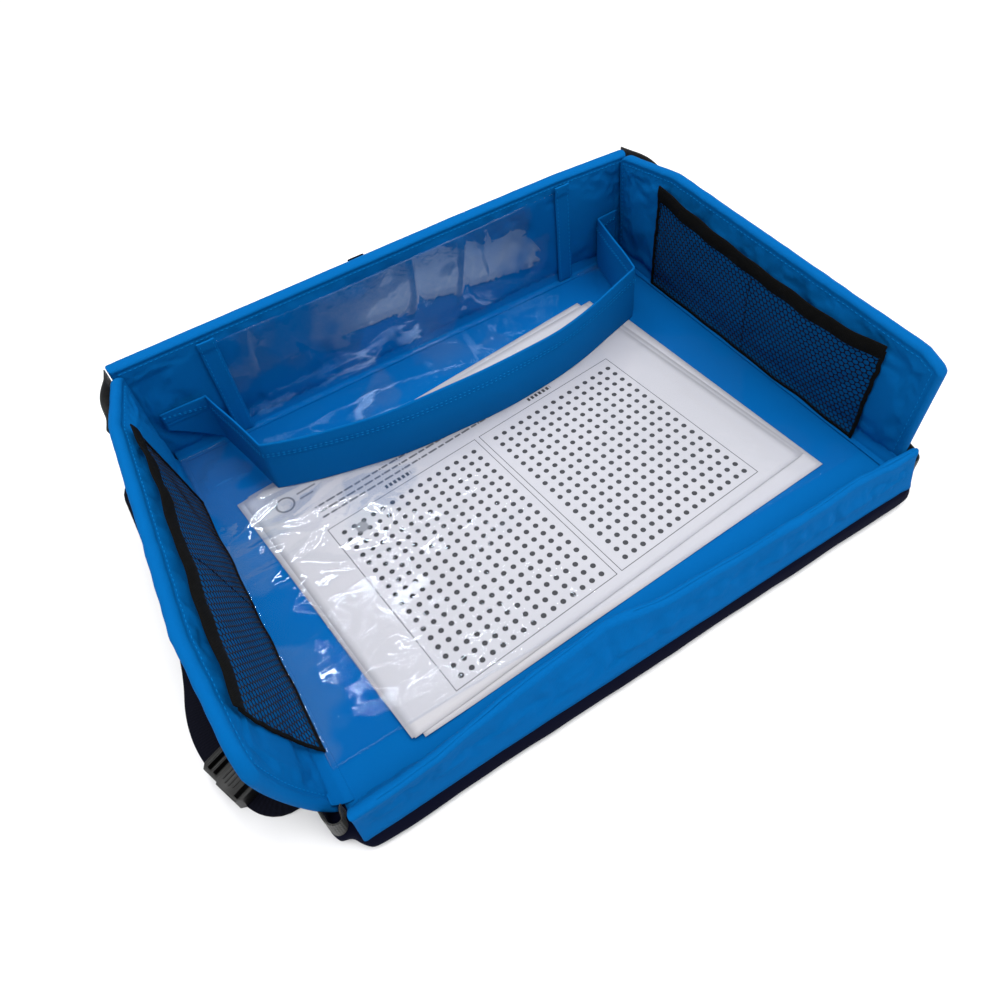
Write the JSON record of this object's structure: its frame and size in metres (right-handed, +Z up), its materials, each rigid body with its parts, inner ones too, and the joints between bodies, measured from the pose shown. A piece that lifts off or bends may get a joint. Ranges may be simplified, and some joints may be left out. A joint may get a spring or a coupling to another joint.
{
  "type": "child's fold-down lap tray",
  "caption": "Soft padded lap tray with fold-down walls, mesh pockets, clear windowed floor over game sheets, divider band and a buckled strap.",
  "frame": {"origin": "centre of the padded base's flat underside, on the surface the tray stands on", "axes": "+X to the right along the tray's long side, +Y from the front lip to the back wall, +Z up"},
  "size_m": [0.4902, 0.3556, 0.107],
  "materials": {
    "blue_fabric": "plain woven polyester, fine weave, slight sheen",
    "navy_fabric": "plain woven polyester, near black",
    "foam": "soft polyester wadding",
    "stiff_board": "flat polypropylene sheet",
    "clear_film": "soft clear vinyl film with wrinkles",
    "paper": "white copier paper printed with a grid of dots",
    "black_mesh": "knitted net with small hexagonal holes",
    "black_elastic": "ribbed woven elastic",
    "tab_webbing": "smooth black touch fastening tape",
    "strap_webbing": "woven nylon webbing",
    "black_plastic": "satin moulded acetal"
  },
  "bodies": {
    "tray_base": {"base_cover": "navy_fabric", "base_board": "stiff_board", "base_padding": "foam", "floor_liner": "blue_fabric", "window_film": "clear_film", "game_sheet_1": "paper", "game_sheet_2": "paper", "game_sheet_3": "paper", "game_sheet_top": "paper", "strap_short": "strap_webbing", "strap_anchor_left": "strap_webbing", "strap_anchor_right": "strap_webbing", "waist_strap": "strap_webbing", "buckle_socket": "black_plastic"},
    "left_wall": {"left_wall_liner": "blue_fabric", "left_wall_padding": "foam", "left_wall_stiffener": "stiff_board", "left_wall_backing": "navy_fabric", "left_mesh_pocket": "black_mesh", "left_mesh_elastic": "black_elastic", "left_back_tab": "tab_webbing", "left_front_tab": "tab_webbing"},
    "right_wall": {"right_wall_liner": "blue_fabric", "right_wall_padding": "foam", "right_wall_stiffener": "stiff_board", "right_wall_backing": "navy_fabric", "right_mesh_pocket": "black_mesh", "right_mesh_elastic": "black_elastic", "right_back_tab": "tab_webbing", "right_front_tab": "tab_webbing"},
    "back_wall": {"back_wall_liner": "blue_fabric", "back_wall_padding": "foam", "back_wall_stiffener": "stiff_board", "back_wall_backing": "navy_fabric", "back_pocket_film": "clear_film", "back_pocket_tape_left": "blue_fabric", "back_pocket_tape_right": "blue_fabric", "back_wall_loop": "strap_webbing", "divider_band": "blue_fabric"},
    "front_lip": {"lip_cover": "blue_fabric", "lip_padding": "foam"},
    "buckle_plug": {"buckle_plug": "black_plastic", "buckle_latch_arms": "black_plastic"}
  },
  "joints": [
    {"name": "left_wall_fold", "type": "hinge", "parent": "tray_base", "child": "left_wall", "pos_m": [-0.198, 0, 0.0153], "axis": [0, -1, 0], "range_deg": [0, 74]},
    {"name": "right_wall_fold", "type": "hinge", "parent": "tray_base", "child": "right_wall", "pos_m": [0.198, 0, 0.0153], "axis": [0, 1, 0], "range_deg": [0, 82]},
    {"name": "back_wall_fold", "type": "hinge", "parent": "tray_base", "child": "back_wall", "pos_m": [0, 0.156, 0.0153], "axis": [-1, 0, 0], "range_deg": [0, 90]},
    {"name": "front_lip_fold", "type": "hinge", "parent": "tray_base", "child": "front_lip", "pos_m": [0, -0.149, 0.0153], "axis": [1, 0, 0], "range_deg": [0, 88]},
    {"name": "buckle_release", "type": "slide", "parent": "tray_base", "child": "buckle_plug", "axis": [-0.342, 0.9397, 0], "range_m": [0, 0.012], "deforming": ["buckle_latch_arms"]}
  ]
}
